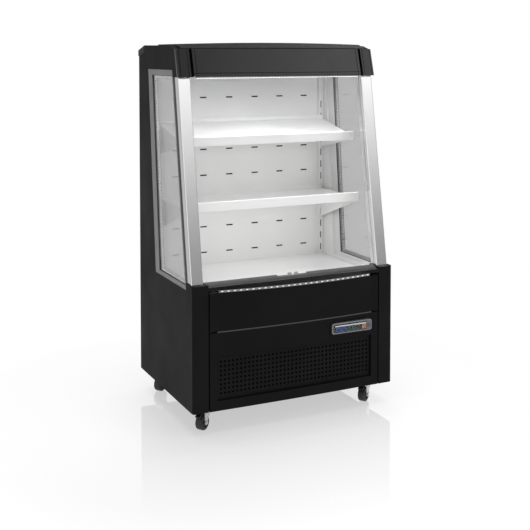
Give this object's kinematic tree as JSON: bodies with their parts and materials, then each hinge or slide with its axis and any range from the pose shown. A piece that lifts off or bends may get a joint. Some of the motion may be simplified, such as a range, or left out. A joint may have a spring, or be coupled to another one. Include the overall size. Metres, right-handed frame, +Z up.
{
  "type": "open multideck display fridge",
  "caption": "Open-front chilled display cabinet with side windows, tilting shelves, pull-down night blind and braked casters.",
  "frame": {"origin": "centre of the footprint, on the floor under the casters", "axes": "+Z up, the open front faces -Y, +X is on the right as seen from the front"},
  "size_m": [0.915, 0.6799, 1.5459],
  "materials": {
    "insulated_panel": "black painted sheet over a foam core, satin",
    "white_core": "white sheet over a foam core",
    "gloss_black": "gloss black front",
    "satin_black": "satin black",
    "black_plastic": "black moulded plastic",
    "lip_grey": "dark grey lip",
    "white_metal": "white powder coat",
    "post_aluminium": "satin anodised",
    "frame_grey": "grey window frame",
    "pane": "clear double pane",
    "led": "lit light strip",
    "silver_plastic": "silver controller frame",
    "display": "tinted display cover",
    "button_blue": "push button",
    "blind_cloth": "reflective blind cloth",
    "trim_silver": "thin bright strip",
    "zinc": "zinc plated",
    "wheel_black": "black wheel",
    "pedal_black": "black pedal",
    "compressor_black": "black enamel",
    "fin_aluminium": "fins",
    "fan_black": "fan",
    "gland_black": "cable gland"
  },
  "bodies": {
    "cabinet": {"base_frame": "zinc", "side_panel_left": "insulated_panel", "side_panel_right": "insulated_panel", "back_panel": "insulated_panel", "cable_gland": "gland_black", "evaporator_tub": "white_core", "corner_post_left": "satin_black", "corner_post_right": "satin_black", "front_upper_panel": "gloss_black", "front_lower_panel": "gloss_black", "vent_grille": "satin_black", "trim_strip": "trim_silver", "lip_rail": "lip_grey", "led_strip_lip": "led", "blind_catch": "zinc", "deck_panel": "white_metal", "duct_panel": "white_metal", "shelf_upright_left": "white_metal", "shelf_upright_right": "white_metal", "mullion_left": "post_aluminium", "mullion_right": "post_aluminium", "window_frame_left": "frame_grey", "window_frame_right": "frame_grey", "window_glass_left": "pane", "window_glass_right": "pane", "canopy_fascia": "gloss_black", "canopy_end_left": "black_plastic", "canopy_end_right": "black_plastic", "canopy_tray": "satin_black", "air_honeycomb": "black_plastic", "led_strip_canopy": "led", "roof_panel": "black_plastic", "rear_cap": "black_plastic", "night_blind_apron": "blind_cloth", "controller_housing": "silver_plastic", "controller_lens": "display", "compressor": "compressor_black", "condenser": "fin_aluminium", "evaporator": "fin_aluminium", "drip_tray": "black_plastic"},
    "blind_bar": {"night_blind_bar": "post_aluminium"},
    "blind_roller": {"night_blind_roller": "zinc", "night_blind_screen": "blind_cloth"},
    "upper_shelf": {"shelf_upper": "white_metal", "brackets_upper": "white_metal"},
    "lower_shelf": {"shelf_lower": "white_metal", "brackets_lower": "white_metal"},
    "condenser_rotor": {"condenser_fan": "fan_black"},
    "evaporator_rotor": {"evaporator_fan": "fan_black"},
    "button": {"controller_button": "button_blue"},
    "swivel_fl": {"caster_fork_fl": "zinc"},
    "wheel_fl": {"caster_wheel_fl": "wheel_black"},
    "swivel_fr": {"caster_fork_fr": "zinc"},
    "wheel_fr": {"caster_wheel_fr": "wheel_black"},
    "swivel_rl": {"caster_fork_rl": "zinc"},
    "wheel_rl": {"caster_wheel_rl": "wheel_black"},
    "swivel_rr": {"caster_fork_rr": "zinc"},
    "wheel_rr": {"caster_wheel_rr": "wheel_black"},
    "pedal_fl": {"brake_pedal_fl": "pedal_black"},
    "pedal_fr": {"brake_pedal_fr": "pedal_black"}
  },
  "joints": [
    {"name": "blind_slide", "type": "slide", "parent": "cabinet", "child": "blind_bar", "axis": [0, -0.1669, -0.986], "range_m": [0, 0.808], "stiffness_N_per_m": 12, "springref_m": -1, "deforming": ["night_blind_apron"]},
    {"name": "blind_roller_spin", "type": "hinge", "parent": "cabinet", "child": "blind_roller", "pos_m": [0, -0.08346, 1.481], "axis": [1, 0, 0], "range_deg": [0, 1900]},
    {"name": "upper_shelf_lift", "type": "hinge", "parent": "cabinet", "child": "upper_shelf", "pos_m": [0, 0.222, 1.1995], "axis": [-1, 0, 0], "range_deg": [0, 12]},
    {"name": "lower_shelf_lift", "type": "hinge", "parent": "cabinet", "child": "lower_shelf", "pos_m": [0, 0.222, 0.8691], "axis": [-1, 0, 0], "range_deg": [0, 12]},
    {"name": "condenser_fan_spin", "type": "hinge", "parent": "cabinet", "child": "condenser_rotor", "pos_m": [0.12, -0.196, 0.231], "axis": [0, 1, 0], "continuous": true},
    {"name": "evaporator_fan_spin", "type": "hinge", "parent": "cabinet", "child": "evaporator_rotor", "pos_m": [0, -0.032, 0.4855], "axis": [0, 1, 0], "continuous": true},
    {"name": "button_press", "type": "slide", "parent": "cabinet", "child": "button", "axis": [0, 1, 0], "range_m": [0, 0.0015], "stiffness_N_per_m": 800, "springref_m": -0.0015},
    {"name": "swivel_fl_turn", "type": "hinge", "parent": "cabinet", "child": "swivel_fl", "pos_m": [-0.375, -0.233, 0.08], "axis": [0, 0, 1], "continuous": true},
    {"name": "wheel_fl_roll", "type": "hinge", "parent": "swivel_fl", "child": "wheel_fl", "pos_m": [-0.3928, -0.24593, 0.031], "axis": [-0.5878, 0.809, 0], "continuous": true},
    {"name": "swivel_fr_turn", "type": "hinge", "parent": "cabinet", "child": "swivel_fr", "pos_m": [0.375, -0.233, 0.08], "axis": [0, 0, 1], "continuous": true},
    {"name": "wheel_fr_roll", "type": "hinge", "parent": "swivel_fr", "child": "wheel_fr", "pos_m": [0.3572, -0.24593, 0.031], "axis": [-0.5878, 0.809, 0], "continuous": true},
    {"name": "swivel_rl_turn", "type": "hinge", "parent": "cabinet", "child": "swivel_rl", "pos_m": [-0.375, 0.267, 0.08], "axis": [0, 0, 1], "continuous": true},
    {"name": "wheel_rl_roll", "type": "hinge", "parent": "swivel_rl", "child": "wheel_rl", "pos_m": [-0.3928, 0.25407, 0.031], "axis": [-0.5878, 0.809, 0], "continuous": true},
    {"name": "swivel_rr_turn", "type": "hinge", "parent": "cabinet", "child": "swivel_rr", "pos_m": [0.375, 0.267, 0.08], "axis": [0, 0, 1], "continuous": true},
    {"name": "wheel_rr_roll", "type": "hinge", "parent": "swivel_rr", "child": "wheel_rr", "pos_m": [0.3572, 0.25407, 0.031], "axis": [-0.5878, 0.809, 0], "continuous": true},
    {"name": "pedal_fl_press", "type": "hinge", "parent": "swivel_fl", "child": "pedal_fl", "pos_m": [-0.38633, -0.24123, 0.071], "axis": [0.5878, -0.809, 0], "range_deg": [0, 8]},
    {"name": "pedal_fr_press", "type": "hinge", "parent": "swivel_fr", "child": "pedal_fr", "pos_m": [0.36367, -0.24123, 0.071], "axis": [0.5878, -0.809, 0], "range_deg": [0, 8]}
  ],
  "couplings": [
    {"joint": "blind_roller_spin", "follows": "blind_slide", "rad_per_m": 40.816}
  ]
}
